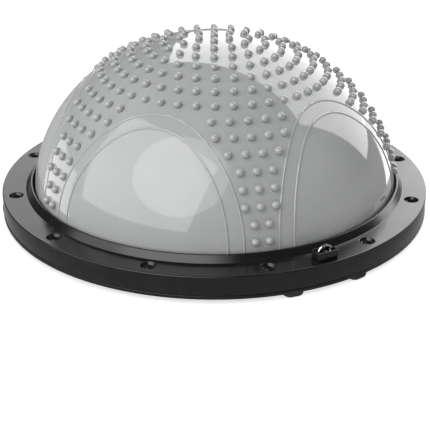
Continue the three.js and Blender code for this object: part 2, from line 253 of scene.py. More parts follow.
def makePvcSkin(look):
    # PVC, blow moulded and inflated tight: glossy, with a faint waviness that only the reflections show
    material, tree, shader = newMaterial("blowMouldedPvc")
    mottle = spread(tree, grain(tree, look["mottleSize"]), 0.0, 1.0)
    tone = twoTone(tree, mottle, look["darkColour"], look["lightColour"])
    tree.links.new(tone, shader.inputs["Base Color"])
    haze = spread(tree, grain(tree, look["hazeSize"]), look["glossyRoughness"], look["hazyRoughness"])
    tree.links.new(haze, shader.inputs["Roughness"])
    wave = grain(tree, look["waveSize"], detail=1.0)
    tree.links.new(bumped(tree, wave, look["waveDepth"]), shader.inputs["Normal"])
    shader.inputs["IOR"].default_value = look["ior"]
    return material


def makeMouldedPlastic(name, look):
    # From a spark-eroded mould: an even satin with a fine grain, and scuffs from handling
    material, tree, shader = newMaterial(name)
    marks = grain(tree, look["scuffSize"], detail=6.0, roughness=0.65)
    scuff = spread(tree, marks, 0.0, 1.0, inLow=0.45, inHigh=0.75)
    tone = twoTone(tree, scuff, look["colour"], look["scuffColour"])
    tree.links.new(tone, shader.inputs["Base Color"])
    satin = spread(tree, grain(tree, look["flowSize"]), look["smoothRoughness"], look["roughRoughness"])
    tree.links.new(satin, shader.inputs["Roughness"])
    eroded = grain(tree, look["erodedSize"], detail=2.0)
    tree.links.new(bumped(tree, eroded, look["erodedDepth"]), shader.inputs["Normal"])
    shader.inputs["IOR"].default_value = look["ior"]
    return material


def makeMetal(name, look):
    material, tree, shader = newMaterial(name)
    stain = spread(tree, grain(tree, look["stainSize"]), 0.0, 1.0)
    tone = twoTone(tree, stain, look["darkColour"], look["lightColour"])
    tree.links.new(tone, shader.inputs["Base Color"])
    satin = spread(tree, grain(tree, look["satinSize"]), look["smoothRoughness"], look["roughRoughness"])
    tree.links.new(satin, shader.inputs["Roughness"])
    shader.inputs["Metallic"].default_value = look["metallic"]
    return material


def makeRubber(look):
    # Vulcanised rubber: matt, a little grey with bloom and floor dust
    material, tree, shader = newMaterial("vulcanisedRubber")
    bloom = spread(tree, grain(tree, look["bloomSize"], detail=5.0), 0.0, 1.0)
    tone = twoTone(tree, bloom, look["colour"], look["bloomColour"])
    tree.links.new(tone, shader.inputs["Base Color"])
    matt = spread(tree, grain(tree, look["grainSize"]), look["smoothRoughness"], look["roughRoughness"])
    tree.links.new(matt, shader.inputs["Roughness"])
    pitted = bumped(tree, grain(tree, look["grainSize"]), look["grainDepth"])
    tree.links.new(pitted, shader.inputs["Normal"])
    shader.inputs["IOR"].default_value = look["ior"]
    return material


def makePolyethylene(look):
    # Injection-moulded polyethylene: waxy white that lets a little light in
    material, tree, shader = newMaterial("waxyPolyethylene")
    cloud = spread(tree, grain(tree, look["cloudSize"]), 0.0, 1.0)
    tone = twoTone(tree, cloud, look["darkColour"], look["lightColour"])
    tree.links.new(tone, shader.inputs["Base Color"])
    waxy = spread(tree, grain(tree, look["waxSize"]), look["smoothRoughness"], look["roughRoughness"])
    tree.links.new(waxy, shader.inputs["Roughness"])
    rippled = bumped(tree, grain(tree, look["waxSize"]), look["waxDepth"])
    tree.links.new(rippled, shader.inputs["Normal"])
    shader.inputs["Subsurface Weight"].default_value = look["glowThrough"]
    shader.inputs["Subsurface Radius"].default_value = [look["glowDepth"] * mm] * 3
    shader.inputs["IOR"].default_value = look["ior"]
    return material


finishes = {
    "dome_pvc": makePvcSkin({
        "darkColour": "#8a8b8b", "lightColour": "#909191", "mottleSize": 90, "hazeSize": 45,
        "glossyRoughness": 0.045, "hazyRoughness": 0.075, "waveSize": 38, "waveDepth": 0.012,
        "ior": 1.53}),
    # Black ABS, with a little gloss
    "base_plastic": makeMouldedPlastic("mouldedBlackAbs", {
        "colour": "#0d0d0d", "scuffColour": "#151515", "scuffSize": 14, "flowSize": 60,
        "smoothRoughness": 0.17, "roughRoughness": 0.22, "ior": 1.46,
        "erodedSize": 1.1, "erodedDepth": 0.012}),  # the real grain is 0.1 mm, drawn coarser to show
    # Black oxide on steel: dark, faintly blue, with the satin of a turned head
    "screw_black": makeMetal("blackOxideSteel", {
        "darkColour": "#232427", "lightColour": "#3a3b3f", "stainSize": 3, "satinSize": 1.5,
        "smoothRoughness": 0.28, "roughRoughness": 0.42, "metallic": 0.9}),
    # Bright zinc plate: grey with a cloudy passivated bloom
    "screw_zinc": makeMetal("zincPlatedSteel", {
        "darkColour": "#a9abad", "lightColour": "#c9cacb", "stainSize": 2, "satinSize": 1.5,
        "smoothRoughness": 0.25, "roughRoughness": 0.4, "metallic": 1.0}),
    # Polished chrome plate on bent wire: a near mirror with a light haze
    "ring_chrome": makeMetal("chromePlatedWire", {
        "darkColour": "#d4d6d9", "lightColour": "#e3e4e6", "stainSize": 6, "satinSize": 4,
        "smoothRoughness": 0.05, "roughRoughness": 0.12, "metallic": 1.0}),
    "foot_rubber": makeRubber({
        "colour": "#131313", "bloomColour": "#1d1d1d", "bloomSize": 7, "grainSize": 0.9,
        "grainDepth": 0.02, "smoothRoughness": 0.62, "roughRoughness": 0.8, "ior": 1.52}),
    "plug_plastic": makePolyethylene({
        "darkColour": "#ebebe8", "lightColour": "#f5f5f3", "cloudSize": 9, "waxSize": 2.5,
        "waxDepth": 0.02, "smoothRoughness": 0.28, "roughRoughness": 0.4,
        "glowThrough": 0.3, "glowDepth": 4.0, "ior": 1.51}),
    # Soft PVC of the moulded valve neck: grey like the dome's skin, but matter
    "valve_pvc": makeMouldedPlastic("mouldedSoftPvc", {
        "colour": "#6b6d70", "scuffColour": "#77797c", "scuffSize": 9, "flowSize": 20,
        "smoothRoughness": 0.35, "roughRoughness": 0.5, "ior": 1.53,
        "erodedSize": 1.1, "erodedDepth": 0.01}),
}
print("materials")


# Mesh helpers. Shapes are written in millimetres and stored in metres.

def newObject(name, points, faces=(), edges=()):
    mesh = bpy.data.meshes.new(name)
    mesh.from_pydata([tuple(Vector(p) * mm) for p in points], list(edges), list(faces))
    obj = bpy.data.objects.new(name, mesh)
    scene.collection.objects.link(obj)
    return obj


def discard(*objects):
    for obj in objects:
        bpy.data.objects.remove(obj, do_unlink=True)


def shaded(obj, sharp=35):
    # Smooth, except at edges over this angle in degrees
    obj.data.polygons.foreach_set("use_smooth", [True] * len(obj.data.polygons))
    obj.data.set_sharp_from_angle(angle=math.radians(sharp))
    return obj


def cleaned(obj, merge=0.002, sharp=35):
    # Welds doubles, turns the faces outwards and shades the piece
    bm = bmesh.new()
    bm.from_mesh(obj.data)
    bmesh.ops.remove_doubles(bm, verts=bm.verts, dist=merge * mm)
    bmesh.ops.dissolve_degenerate(bm, edges=bm.edges, dist=merge * mm / 4)
    bmesh.ops.recalc_face_normals(bm, faces=bm.faces)
    bm.to_mesh(obj.data)
    bm.free()
    return shaded(obj, sharp)


def baked(obj, name=None):
    # The object's modifiers applied, as a plain mesh
    bpy.context.view_layer.update()
    graph = bpy.context.evaluated_depsgraph_get()
    mesh = bpy.data.meshes.new_from_object(obj.evaluated_get(graph), depsgraph=graph)
    result = bpy.data.objects.new(name or obj.name, mesh)
    scene.collection.objects.link(result)
    discard(obj)
    return result


def joined(name, *objects):
    bm = bmesh.new()
    for obj in objects:
        bm.from_mesh(obj.data)
    result = newObject(name, [])
    bm.to_mesh(result.data)
    bm.free()
    discard(*objects)
    return result


def cutBy(obj, *cutters):
    for cutter in cutters:
        change = obj.modifiers.new("cut", "BOOLEAN")
        change.operation, change.solver, change.object = "DIFFERENCE", "EXACT", cutter
    result = baked(obj, obj.name)
    discard(*cutters)
    return result


def filleted(corners, steps=4):
    # Corners are (x, y) or (x, y, radius), and a radius rounds its corner with an arc
    points = []
    for k, (x, y, *radius) in enumerate(corners):
        here = Vector((x, y))
        if not radius or radius[0] == 0:
            points.append(here)
            continue
        before = (Vector(corners[k - 1][:2]) - here).normalized()
        after = (Vector(corners[(k + 1) % len(corners)][:2]) - here).normalized()
        half = before.angle(after) / 2
        centre = here + (before + after).normalized() * radius[0] / math.sin(half)
        reach = radius[0] / math.tan(half)
        start, end = here + before * reach - centre, here + after * reach - centre
        first = math.atan2(start.y, start.x)
        turn = (math.atan2(end.y, end.x) - first + math.pi) % (2 * math.pi) - math.pi
        for step in range(steps + 1):
            angle = first + turn * step / steps
            points.append(centre + Vector((math.cos(angle), math.sin(angle))) * radius[0])
    return points


def stacked(name, loops):
    # A closed solid through loops of equally many points, capped at both ends
    count = len(loops[0])
    points = [p for loop in loops for p in loop]
    faces = [list(range(count))[::-1], list(range((len(loops) - 1) * count, len(loops) * count))]
    for row in range(len(loops) - 1):
        for k in range(count):
            a, b = row * count + k, row * count + (k + 1) % count
            faces.append([a, b, b + count, a + count])
    return newObject(name, points, faces)


def addSocket(tree, name, kind, value=None, way="INPUT"):
    socket = tree.interface.new_socket(name=name, in_out=way, socket_type="NodeSocket" + kind)
    if value is not None:
        socket.default_value = value


def withTree(obj, tree, values, name=None):
    # Runs a node tree on an object, with its inputs set by their identifiers, and bakes the result
    change = obj.modifiers.new(tree.name, "NODES")
    change.node_group = tree
    sockets = [item for item in tree.interface.items_tree if item.in_out == "INPUT"]
    ids = {item.name: item.identifier for item in sockets}
    for key, value in values.items():
        change[ids[key]] = value
    return baked(obj, name)


def finished(tree, geometry, material):
    # Every tree ends in Realize Instances and Set Material
    real = addNode(tree, "GeometryNodeRealizeInstances", {"Geometry": geometry})
    painted = addNode(tree, "GeometryNodeSetMaterial", {"Geometry": real.outputs[0],
                      "Material": material})
    addNode(tree, "NodeGroupOutput", {0: painted.outputs[0]})


def makeTurningTree():
    # Turns a profile, given as a chain of points in the XZ plane, about Z
    tree = bpy.data.node_groups.new("turnedProfile", "GeometryNodeTree")
    addSocket(tree, "Profile", "Geometry")
    addSocket(tree, "Columns", "Int", 96)
    addSocket(tree, "Weld", "Float", 1e-6)
    addSocket(tree, "Material", "Material")
    addSocket(tree, "Solid", "Geometry", way="OUTPUT")
    given = addNode(tree, "NodeGroupInput")
    size = addNode(tree, "GeometryNodeAttributeDomainSize", {"Geometry": given.outputs["Profile"]})
    rows = size.outputs[0]
    wide = addNode(tree, "ShaderNodeMath", {0: given.outputs["Columns"], 1: 1.0}, operation="ADD")
    grid = addNode(tree, "GeometryNodeMeshGrid", {"Vertices X": wide.outputs[0], "Vertices Y": rows})
    index = addNode(tree, "GeometryNodeInputIndex").outputs[0]
    row = addNode(tree, "ShaderNodeMath", {0: index, 1: rows}, operation="MODULO")
    share = addNode(tree, "ShaderNodeMath", {0: index, 1: rows}, operation="DIVIDE")
    column = addNode(tree, "ShaderNodeMath", {0: share.outputs[0]}, operation="FLOOR")
    part = addNode(tree, "ShaderNodeMath", {0: column.outputs[0], 1: given.outputs["Columns"]},
                   operation="DIVIDE")
    angle = addNode(tree, "ShaderNodeMath", {0: part.outputs[0], 1: 2 * math.pi}, operation="MULTIPLY")
    here = addNode(tree, "GeometryNodeInputPosition").outputs[0]
    point = addNode(tree, "GeometryNodeSampleIndex", {"Geometry": given.outputs["Profile"],
                    "Value": here, "Index": row.outputs[0]}, data_type="FLOAT_VECTOR", domain="POINT")
    swung = addNode(tree, "ShaderNodeVectorRotate", {"Vector": point.outputs[0], "Axis": (0, 0, 1),
                    "Angle": angle.outputs[0]}, rotation_type="AXIS_ANGLE")
    moved = addNode(tree, "GeometryNodeSetPosition", {"Geometry": grid.outputs[0],
                    "Position": swung.outputs[0]})
    welded = addNode(tree, "GeometryNodeMergeByDistance", {"Geometry": moved.outputs[0],
                     "Distance": given.outputs["Weld"]})
    finished(tree, welded.outputs[0], given.outputs["Material"])
    return tree


def makeCopyingTree():
    # Sets a shape on every spot: its Z along "facing", turned about it by "turn" and a random extra
    tree = bpy.data.node_groups.new("copiesOnSpots", "GeometryNodeTree")
    addSocket(tree, "Spots", "Geometry")
    addSocket(tree, "Shape", "Object")
    addSocket(tree, "Size", "Float", 1.0)
    addSocket(tree, "Random Turn", "Float", 0.0)
    addSocket(tree, "Random Size", "Float", 0.0)
    addSocket(tree, "Seed", "Int", 1)
    addSocket(tree, "Material", "Material")
    addSocket(tree, "Copies", "Geometry", way="OUTPUT")
    given = addNode(tree, "NodeGroupInput")
    shape = addNode(tree, "GeometryNodeObjectInfo", {"Object": given.outputs["Shape"],
                    "As Instance": True})
    facing = addNode(tree, "GeometryNodeInputNamedAttribute", {"Name": "facing"},
                     data_type="FLOAT_VECTOR")
    turn = addNode(tree, "GeometryNodeInputNamedAttribute", {"Name": "turn"}, data_type="FLOAT")
    chance = addNode(tree, "FunctionNodeRandomValue", {"Seed": given.outputs["Seed"]},
                     data_type="FLOAT")
    number = next(socket for socket in chance.outputs if socket.enabled)
    extra = addNode(tree, "ShaderNodeMath", {0: number, 1: given.outputs["Random Turn"]},
                    operation="MULTIPLY")
    angle = addNode(tree, "ShaderNodeMath", {0: turn.outputs[0], 1: extra.outputs[0]}, operation="ADD")
    upright = addNode(tree, "FunctionNodeAlignRotationToVector", {"Vector": facing.outputs[0]},
                      axis="Z")
    about = addNode(tree, "FunctionNodeAxisAngleToRotation", {"Axis": (0, 0, 1),
                    "Angle": angle.outputs[0]})
    way = addNode(tree, "FunctionNodeRotateRotation", {"Rotation": upright.outputs[0],
                  "Rotate By": about.outputs[0]}, rotation_space="LOCAL")
    swing = addNode(tree, "ShaderNodeMath", {0: number, 1: given.outputs["Random Size"],
                    2: given.outputs["Size"]}, operation="MULTIPLY_ADD")
    placed = addNode(tree, "GeometryNodeInstanceOnPoints", {"Points": given.outputs["Spots"],
                     "Instance": shape.outputs["Geometry"], "Rotation": way.outputs[0],
                     "Scale": swing.outputs[0]})
    finished(tree, placed.outputs[0], given.outputs["Material"])
    return tree


def makeWireTree():
    # A round wire or bead along a chain of edges
    tree = bpy.data.node_groups.new("beadOnPath", "GeometryNodeTree")
    addSocket(tree, "Path", "Geometry")
    addSocket(tree, "Radius", "Float", 0.001)
    addSocket(tree, "Sides", "Int", 10)
    addSocket(tree, "Material", "Material")
    addSocket(tree, "Bead", "Geometry", way="OUTPUT")
    given = addNode(tree, "NodeGroupInput")
    line = addNode(tree, "GeometryNodeMeshToCurve", {"Mesh": given.outputs["Path"]})
    ring = addNode(tree, "GeometryNodeCurvePrimitiveCircle", {"Resolution": given.outputs["Sides"],
                   "Radius": given.outputs["Radius"]})
    bead = addNode(tree, "GeometryNodeCurveToMesh", {"Curve": line.outputs[0],
                   "Profile Curve": ring.outputs[0], "Fill Caps": True})
    finished(tree, bead.outputs[0], given.outputs["Material"])
    return tree


turningTree, copyingTree, wireTree = makeTurningTree(), makeCopyingTree(), makeWireTree()


def turned(name, profile, columns, finish):
    chain = [(k, k + 1) for k in range(len(profile) - 1)]
    line = newObject(name + "Profile", [(p[0], 0, p[1]) for p in profile], edges=chain)
    solid = withTree(line, turningTree, {"Columns": columns, "Material": finishes[finish]}, name)
    return cleaned(solid)


def copies(name, shape, spots, finish, **extra):
    # Spots are (point, facing, turn in degrees)
    points = newObject(name + "Spots", [point for point, _, _ in spots])
    for attribute, kind in (("facing", "FLOAT_VECTOR"), ("turn", "FLOAT")):
        points.data.attributes.new(attribute, kind, "POINT")
    facing, turn = (points.data.attributes[attribute] for attribute in ("facing", "turn"))
    for k, (_, way, angle) in enumerate(spots):
        facing.data[k].vector = way
        turn.data[k].value = math.radians(angle)
    values = {"Shape": shape, "Material": finishes[finish], **extra}
    result = withTree(points, copyingTree, values, name)
    discard(shape)
    return result


def beads(name, paths, radius, sides, finish, closed=False):
    points, edges = [], []
    for path in paths:
        first = len(points)
        points += path
        edges += [(k, k + 1) for k in range(first, len(points) - 1)]
        edges += [(len(points) - 1, first)] if closed else []
    line = newObject(name + "Path", points, edges=edges)
    return withTree(line, wireTree, {"Radius": radius * mm, "Sides": sides,
                                     "Material": finishes[finish]}, name)


def install(obj, body, slot, *nodes):
    # The finished piece gets its material, rides on its body and stands for its CAD nodes
    if obj.data.materials:
        obj.data.materials[0] = finishes[slot]
    else:
        obj.data.materials.append(finishes[slot])
    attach(obj, body)
    litGroups["object"].objects.link(obj)
    if slot in ("dome_pvc", "base_plastic"):
        litGroups["dome" if slot == "dome_pvc" else "black"].objects.link(obj)
    if nodes:
        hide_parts(*nodes)
    return obj


upward = Vector((0, 0, 1))
flatTop = 36.0  # top of the clamp ring's flat
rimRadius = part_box("clamp_ring")[1].x / mm
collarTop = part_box("clamp_ring")[1].z / mm
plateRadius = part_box("base_plate")[1].x / mm
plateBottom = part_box("base_plate")[0].z / mm
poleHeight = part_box("dome_bladder")[1].z / mm
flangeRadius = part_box("dome_bladder")[1].x / mm
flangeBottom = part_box("dome_bladder")[0].z / mm
screwCircle = flangeRadius + 10

dome = {
    "radius": 247.0,
    "centre": 22.3,  # height of the widest section
    "wall": 2.2,
    "flange": 3.0,
    "flangeEdge": 0.5,
    "fold": 1.5,  # radius where the skin turns into its flange
    "rows": 90,
    "columns": 240,
    "neckHole": 9.5,
}


def onDome(azimuth, polar, lift=0.0):
    # Point at an azimuth and an angle from the pole, in degrees, lifted along the skin's normal
    p = math.radians(polar)
    rise = poleHeight - dome["centre"]
    out = direction(azimuth)
    point = out * dome["radius"] * math.sin(p) + upward * (dome["centre"] + rise * math.cos(p))
    normal = out * math.sin(p) / dome["radius"] + upward * math.cos(p) / rise
    normal.normalize()
    return point + normal * lift, normal


def makeDomeSkin():
    rise = poleHeight - dome["centre"]
    wall = dome["wall"]

    def quarter(radius, height, rows):
        angles = [math.pi / 2 * k / rows for k in range(rows + 1)]
        return [(radius * math.sin(a), dome["centre"] + height * math.cos(a)) for a in angles]

    flangeTop = flangeBottom + dome["flange"]
    floorTop = flangeBottom + wall
    inner = dome["radius"] - wall
    edge, fold = dome["flangeEdge"], dome["fold"]
    skirt = filleted([(dome["radius"], dome["centre"] - 1), (dome["radius"], flangeTop, fold),
                      (flangeRadius, flangeTop, edge), (flangeRadius, flangeBottom, edge),
                      (dome["neckHole"], flangeBottom), (dome["neckHole"], floorTop),
                      (inner, floorTop, fold), (inner, dome["centre"] - 1)])
    inside = quarter(inner, rise - wall, dome["rows"] // 3)
    profile = quarter(dome["radius"], rise, dome["rows"]) + skirt + inside[::-1]
    skin = turned("domeSkin", profile, dome["columns"], "dome_pvc")
    install(skin, "base", "dome_pvc", "dome_bladder")


nubs = {
    "radius": 5.2,
    "height": 6.9,
    "root": 0.6,  # flare where a nub grows out of the skin
    "sunk": 0.8,
    "crown": (-25, 0, 22, 44, 66),  # degrees above level of the rounded head's rings
    "size": 0.985,  # smallest, and how much bigger the biggest is
    "sizeSpread": 0.03,
    "seed": 7,
    "fullRings": 7,  # nubs go all round on these, and only down the strips below them
    "strips": 5,
    "stripCounts": [5, 5, 4, 3, 3, 3, 2, 2],
    "ringStep": 5.28,  # degrees from the pole to the next ring
    "ringStretch": 0.0085,
    "firstAzimuth": -28.5,
    "stripAzimuth": -15.0,
    "sides": 14,
}


def nubPolar(ring):
    return nubs["ringStep"] * ring + nubs["ringStretch"] * ring ** 2


def makeNubs():
    places = [(0.0, 0.0)]
    for ring in range(1, nubs["fullRings"] + 1):
        step = 360 / (6 * ring)
        places += [(nubs["firstAzimuth"] + step * k, nubPolar(ring)) for k in range(6 * ring)]
    for extra, count in enumerate(nubs["stripCounts"], start=1):
        ring = nubs["fullRings"] + extra
        step = 360 / (6 * ring)
        for strip in range(nubs["strips"]):
            middle = nubs["stripAzimuth"] + 360 / nubs["strips"] * strip
            places += [(middle + step * (k - (count - 1) / 2), nubPolar(ring)) for k in range(count)]
    radius, height, root = nubs["radius"], nubs["height"], nubs["root"]
    foot = radius + root
    angles = [math.radians(degrees) for degrees in nubs["crown"]]
    crown = [(radius * math.cos(a), height - radius + radius * math.sin(a)) for a in angles]
    profile = [(0, -nubs["sunk"]), (foot, -nubs["sunk"]), (foot, -0.1), *crown, (0, height)]
    shape = turned("nubShape", profile, nubs["sides"], "dome_pvc")
    spots = [(*onDome(azimuth, polar), 0.0) for azimuth, polar in places]
    sizes = {"Size": nubs["size"], "Random Size": nubs["sizeSpread"]}
    result = copies("domeNubs", shape, spots, "dome_pvc", Seed=nubs["seed"], **sizes)
    install(result, "base", "dome_pvc")


arches = {
    "count": 5,
    "firstAzimuth": -51.0,
    "halfWidths": [30.9, 26.3],  # degrees, outer and inner line
    "tops": [41.5, 46.3],  # degrees from the pole
    "foot": 84.0,  # below it the lines run straight down
    "legEnds": (86.0, 88.0),
    "power": 2.2,  # a little squarer than an ellipse
    "radius": 1.5,
    "sunk": 0.3,
    "steps": 96,
    "sides": 10,
}


def makeArches():
    paths = []
    for arch in range(arches["count"]):
        middle = arches["firstAzimuth"] + 360 / arches["count"] * arch
        for halfWidth, top in zip(arches["halfWidths"], arches["tops"]):
            legStart, legEnd = arches["legEnds"]
            path = [(middle + halfWidth, legEnd), (middle + halfWidth, legStart)]
            for step in range(arches["steps"] + 1):
                angle = math.pi * step / arches["steps"]
                across = math.copysign(abs(math.cos(angle)) ** (2 / arches["power"]), math.cos(angle))
                up = math.sin(angle) ** (2 / arches["power"])
                polar = arches["foot"] - (arches["foot"] - top) * up
                path.append((middle + halfWidth * across, polar))
            path += [(middle - halfWidth, legStart), (middle - halfWidth, legEnd)]
            paths.append([onDome(*place, -arches["sunk"])[0] for place in path])
    lines = beads("archBeads", paths, arches["radius"], arches["sides"], "dome_pvc")
    install(cleaned(lines), "base", "dome_pvc")


makeDomeSkin()
makeNubs()
makeArches()
print("dome")


ring = {
    "screws": 12,
    "firstScrew": 15.0,
    "columns": 24,  # round each screw's share of the ring
    "sideSteps": 6,
    "bottom": 10.8,
    "wall": 3.5,
    "edgeRound": 1.3,
    "collarInner": 248.8,
    "collarWall": 2.7,
    "collarFlare": 6.5,
    "skirtBottom": 17.8,
    "skirtWall": 4.2,
    "recessTop": 9.5,
    "recessFloor": 7.2,
    "recessDepth": 4.0,
    "holeRadius": 2.9,
    "bossRadius": 11.0,
    "bossFloor": 4.0,
    "between": (0.3, 0.65),  # rows of faces between a recess and the edge of its share
}


def makeClampRing():
    under = flatTop - ring["wall"]
    innerWall = rimRadius - ring["wall"]
    skirtOuter = ring["collarInner"] + ring["skirtWall"]
    collarOuter = ring["collarInner"] + ring["collarWall"]
    collarFoot = collarOuter + ring["collarFlare"]
    topEdges = (collarFoot + 1.5, rimRadius - ring["edgeRound"] - 0.5)
    underEdges = (skirtOuter + 2, innerWall - 2)
    outside = filleted([(topEdges[1], flatTop), (rimRadius, flatTop, ring["edgeRound"]),
                        (rimRadius, ring["bottom"], 0.5), (innerWall, ring["bottom"], 0.4),
                        (innerWall, under, 1.2), (underEdges[1], under)])
    inner, skirtBottom = ring["collarInner"], ring["skirtBottom"]
    inside = filleted([(underEdges[0], under), (skirtOuter, under, 1.2),
                       (skirtOuter, skirtBottom, 0.5), (inner, skirtBottom, 0.5),
                       (inner, collarTop, 0.8), (collarOuter, collarTop, 1.0),
                       (collarFoot, flatTop, 1.0), (topEdges[0], flatTop)])
    floor = flatTop - ring["recessDepth"]
    bossBottom = floor - ring["bossFloor"]
    well = filleted([(ring["recessTop"] + 2, flatTop), (ring["recessTop"], flatTop, 0.9),
                     (ring["recessFloor"], floor, 1.6), (ring["holeRadius"], floor, 0.3),
                     (ring["holeRadius"], bossBottom, 0.3), (ring["bossRadius"], bossBottom, 0.8),
                     (ring["bossRadius"], under, 0.8), (ring["bossRadius"] + 2, under)])
    count = ring["screws"] * ring["columns"]
    points, faces = [], []

    def band(rows, closed=True):
        # Quads between rows of equally many points
        first = len(points)
        width = len(rows[0])
        points.extend(p for row in rows for p in row)
        for r in range(len(rows) - 1):
            for k in range(width if closed else width - 1):
                a, b = first + r * width + k, first + r * width + (k + 1) % width
                faces.append([a, b, b + width, a + width])

    step = 360 / count
    for profile in (outside, inside):
        band([[direction(step * k) * r + upward * z for k in range(count)] for r, z in profile])

    def sector(middle, edges, height):
        half = ring["columns"] / 2
        low, high = edges
        arc = [step * (k - half) for k in range(ring["columns"])]
        side = [low + (high - low) * k / ring["sideSteps"] for k in range(ring["sideSteps"])]
        outline = [(a, low) for a in arc] + [(-arc[0], r) for r in side]
        outline += [(-a, high) for a in arc] + [(arc[0], low + high - r) for r in side]
        return [direction(middle + a) * r + upward * height for a, r in outline]

    for screw in range(ring["screws"]):
        middle = ring["firstScrew"] + 360 / ring["screws"] * screw
        centre = direction(middle) * screwCircle
        top = sector(middle, topEdges, flatTop)
        bottom = sector(middle, underEdges, under)
        size = len(top)

        def loop(radius, height):
            # As many points as the outline, starting under its first corner
            corner = math.pi * ring["columns"] / size
            angles = [-math.pi / 2 - corner + 2 * math.pi * k / size for k in range(size)]
            out, along = direction(middle), direction(middle + 90)
            return [centre + (along * math.cos(a) + out * math.sin(a)) * radius + upward * height
                    for a in angles]

        rows = [loop(r, z) for r, z in well]
        above = [[p.lerp(q, s) for p, q in zip(rows[0], top)] for s in ring["between"]]
        below = [[p.lerp(q, s) for p, q in zip(rows[-1], bottom)] for s in ring["between"]]
        band([top, *above[::-1], *rows, *below, bottom])
    body = cleaned(newObject("clampRing", points, faces))
    install(body, "base", "base_plastic", "clamp_ring")


makeClampRing()
print("clamp ring")


screws = {
    "headRadius": 5.5,
    "headHeight": 3.2,
    "edge": 0.9,  # straight side of the head
    "shankRadius": 2.2,
    "crossLength": 5.6,
    "crossWidth": 1.25,
    "crossDepth": 1.7,
    "crown": (0, 18, 36, 52, 66, 78, 90),  # degrees from the top of the head's rings
    "sides": 28,
    "seed": 3,
}


def nodesNamed(stem):
    return sorted(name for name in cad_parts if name.startswith(stem))


def middleOf(node):
    low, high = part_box(node)
    return (low + high) / 2 / mm


def slab(name, width, depth, low, high):
    x, y = width / 2, depth / 2
    loops = [[(-x, -y, z), (x, -y, z), (x, y, z), (-x, y, z)] for z in (low, high)]
    return stacked(name, loops)


def makeRimScrews():
    names = nodesNamed("rim_screw_")
    low, headTop = (corner.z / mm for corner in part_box(names[0]))
    headLow = headTop - screws["headHeight"]
    crownStart = headLow + screws["edge"]
    rise = headTop - crownStart
    radius, shank = screws["headRadius"], screws["shankRadius"]
    angles = [math.radians(degrees) for degrees in screws["crown"]]
    crown = [(radius * math.sin(a), crownStart + rise * math.cos(a)) for a in angles]
    profile = [*crown, *filleted([(radius, headLow, 0.3), (shank, headLow, 0.4),
                                  (shank, low + shank), (0, low)])]
    shape = turned("screwShape", profile, screws["sides"], "screw_black")
    bottom, top = headTop - screws["crossDepth"], headTop + 1
    cross = [slab("crossA", screws["crossLength"], screws["crossWidth"], bottom, top),
             slab("crossB", screws["crossWidth"], screws["crossLength"], bottom, top)]
    shape = cleaned(cutBy(shape, *[cleaned(bar) for bar in cross]))
    places = [middleOf(name) for name in names]
    spots = [(Vector((p.x, p.y, 0)), upward, 0.0) for p in places]
    anyTurn = {"Random Turn": math.pi}
    result = copies("rimScrews", shape, spots, "screw_black", Seed=screws["seed"], **anyTurn)
    install(result, "base", "screw_black", *names)


makeRimScrews()
print("rim screws")


plate = {
    "edge": 4.5,
    "seatRise": 3.7,
    "seatMargin": 3.0,
    "skin": 4.0,
    "ribLift": 0.4,
    "ribThickness": 2.4,
    "ribCount": 12,
    "middleRib": 150.0,
    "hubRib": 32.0,
    "neckHole": 9.5,
    "columns": 288,
    "bossRadius": 6.0,
    "bossTop": 27.7,
    "bossHole": 2.45,
    "bossHoleBottom": 12.2,
    "bossSides": 24,
}


def makeBasePlate():
    land = plateBottom + plate["edge"]
    seat = land + plate["seatRise"]
    under = seat - plate["skin"]
    rib = plateBottom + plate["ribLift"]
    thick = plate["ribThickness"]

    def ringRib(radius):
        return [(radius, under, 0.6), (radius, rib, 0.5), (radius + thick, rib, 0.5),
                (radius + thick, under, 0.6)]

    profile = filleted([(plate["neckHole"], seat, 0.5), (plate["neckHole"], under, 0.5),
                        *ringRib(plate["hubRib"]), *ringRib(plate["middleRib"]),
                        (flangeRadius, under, 1.0), (flangeRadius, plateBottom, 0.8),
                        (plateRadius, plateBottom, 0.7), (plateRadius, land, 0.5),
                        (flangeRadius + plate["seatMargin"], land, 0.8),
                        (flangeRadius + plate["seatMargin"], seat, 0.5)], steps=3)
    disc = turned("plateDisc", [*profile, profile[0]], plate["columns"], "base_plastic")
    start, end = plate["hubRib"] + thick / 2, flangeRadius + 0.5
    section = filleted([(-thick / 2, under + 0.5), (-thick / 2, rib, 0.5), (thick / 2, rib, 0.5),
                        (thick / 2, under + 0.5)], steps=3)
    bar = cleaned(stacked("ribShape", [[(x, -r, z) for x, z in section] for r in (start, end)]))
    step = 360 / plate["ribCount"]
    spots = [(Vector((0, 0, 0)), upward, step * k) for k in range(plate["ribCount"])]
    ribs = copies("plateRibs", bar, spots, "base_plastic")
    bossTop, holeBottom = plate["bossTop"], plate["bossHoleBottom"]
    sleeve = filleted([(plate["bossRadius"], land - 0.5), (plate["bossRadius"], bossTop, 0.6),
                       (plate["bossHole"], bossTop, 0.3), (plate["bossHole"], holeBottom),
                       (0, holeBottom)], steps=3)
    boss = turned("bossShape", [(0, land - 0.5), *sleeve], plate["bossSides"], "base_plastic")
    places = [middleOf(name) for name in nodesNamed("rim_screw_")]
    spots = [(Vector((p.x, p.y, 0)), upward, 0.0) for p in places]
    bosses = copies("plateBosses", boss, spots, "base_plastic")
    whole = shaded(joined("basePlate", disc, ribs, bosses))
    install(whole, "base", "base_plastic", "base_plate")


makeBasePlate()
print("base plate")


foot = {
    "width": 26.0,
    "length": 28.0,
    "corner": 9.0,
    "round": 4.2,
    "lip": 0.8,
    "lipHeight": 3.6,
    "lipRound": 0.7,
    "gap": 0.3,
    "grooves": 3,
    "grooveWidth": 1.6,
    "grooveDepth": 0.9,
    "azimuths": [-9.3, 9.3, 110.7, 129.3, 230.7, 249.3],
}


